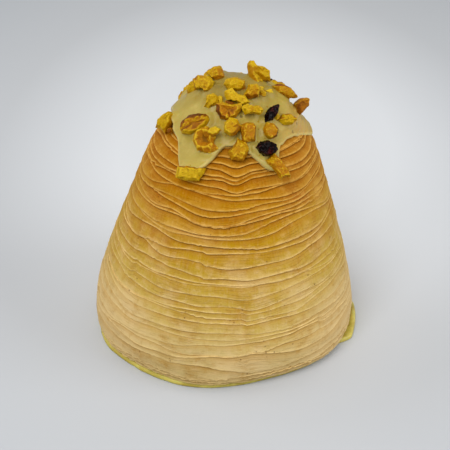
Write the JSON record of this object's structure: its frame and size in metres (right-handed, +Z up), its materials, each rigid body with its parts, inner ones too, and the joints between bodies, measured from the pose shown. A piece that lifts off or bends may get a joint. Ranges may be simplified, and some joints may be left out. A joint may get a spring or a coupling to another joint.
{
  "type": "bell-shaped sfogliatella",
  "caption": "Bell-shaped sfogliatella: a leaf of pastry wound in thin overlapping layers on a cream filling, with cream glaze running down from the top, chopped nuts and raisins.",
  "frame": {"origin": "middle of the flat underside of the filling, where the pastry stands", "axes": "+Z up through the top of the bell, -Y towards the side shown in front, +X to that side's right, the way the top leans"},
  "size_m": [0.1333, 0.1295, 0.1394],
  "materials": {
    "baked_pastry": "matt baked dough, golden at the top and paler towards the foot",
    "filling_cream": "soft satin cream, yellow-green",
    "cream_glaze": "satin, set cream glaze, pale green-beige with fine dark specks",
    "chopped_nut": "roasted, broken, slightly oily nut",
    "raisin_skin": "wrinkled, glossy dark skin"
  },
  "bodies": {
    "root": {"filling_layer": "filling_cream", "pastry_bell": "baked_pastry", "glaze_cap": "cream_glaze", "nut_chunk_01": "chopped_nut", "nut_chunk_02": "chopped_nut", "nut_chunk_03": "chopped_nut", "nut_chunk_04": "chopped_nut", "nut_chunk_05": "chopped_nut", "nut_chunk_06": "chopped_nut", "nut_chunk_07": "chopped_nut", "nut_chunk_08": "chopped_nut", "nut_chunk_09": "chopped_nut", "nut_chunk_10": "chopped_nut", "nut_chunk_11": "chopped_nut", "nut_chunk_12": "chopped_nut", "nut_chunk_13": "chopped_nut", "nut_chunk_14": "chopped_nut", "nut_chunk_15": "chopped_nut", "nut_chunk_16": "chopped_nut", "nut_chunk_17": "chopped_nut", "nut_chunk_18": "chopped_nut", "nut_chunk_19": "chopped_nut", "nut_chunk_20": "chopped_nut", "nut_half_01": "chopped_nut", "nut_half_02": "chopped_nut", "nut_half_03": "chopped_nut", "nut_half_04": "chopped_nut", "nut_half_05": "chopped_nut", "nut_half_06": "chopped_nut", "nut_half_07": "chopped_nut", "nut_sliver_01": "chopped_nut", "nut_sliver_02": "chopped_nut", "nut_sliver_03": "chopped_nut", "nut_sliver_04": "chopped_nut", "nut_sliver_05": "chopped_nut", "raisin_01": "raisin_skin", "raisin_02": "raisin_skin", "raisin_03": "raisin_skin"}
  },
  "joints": []
}
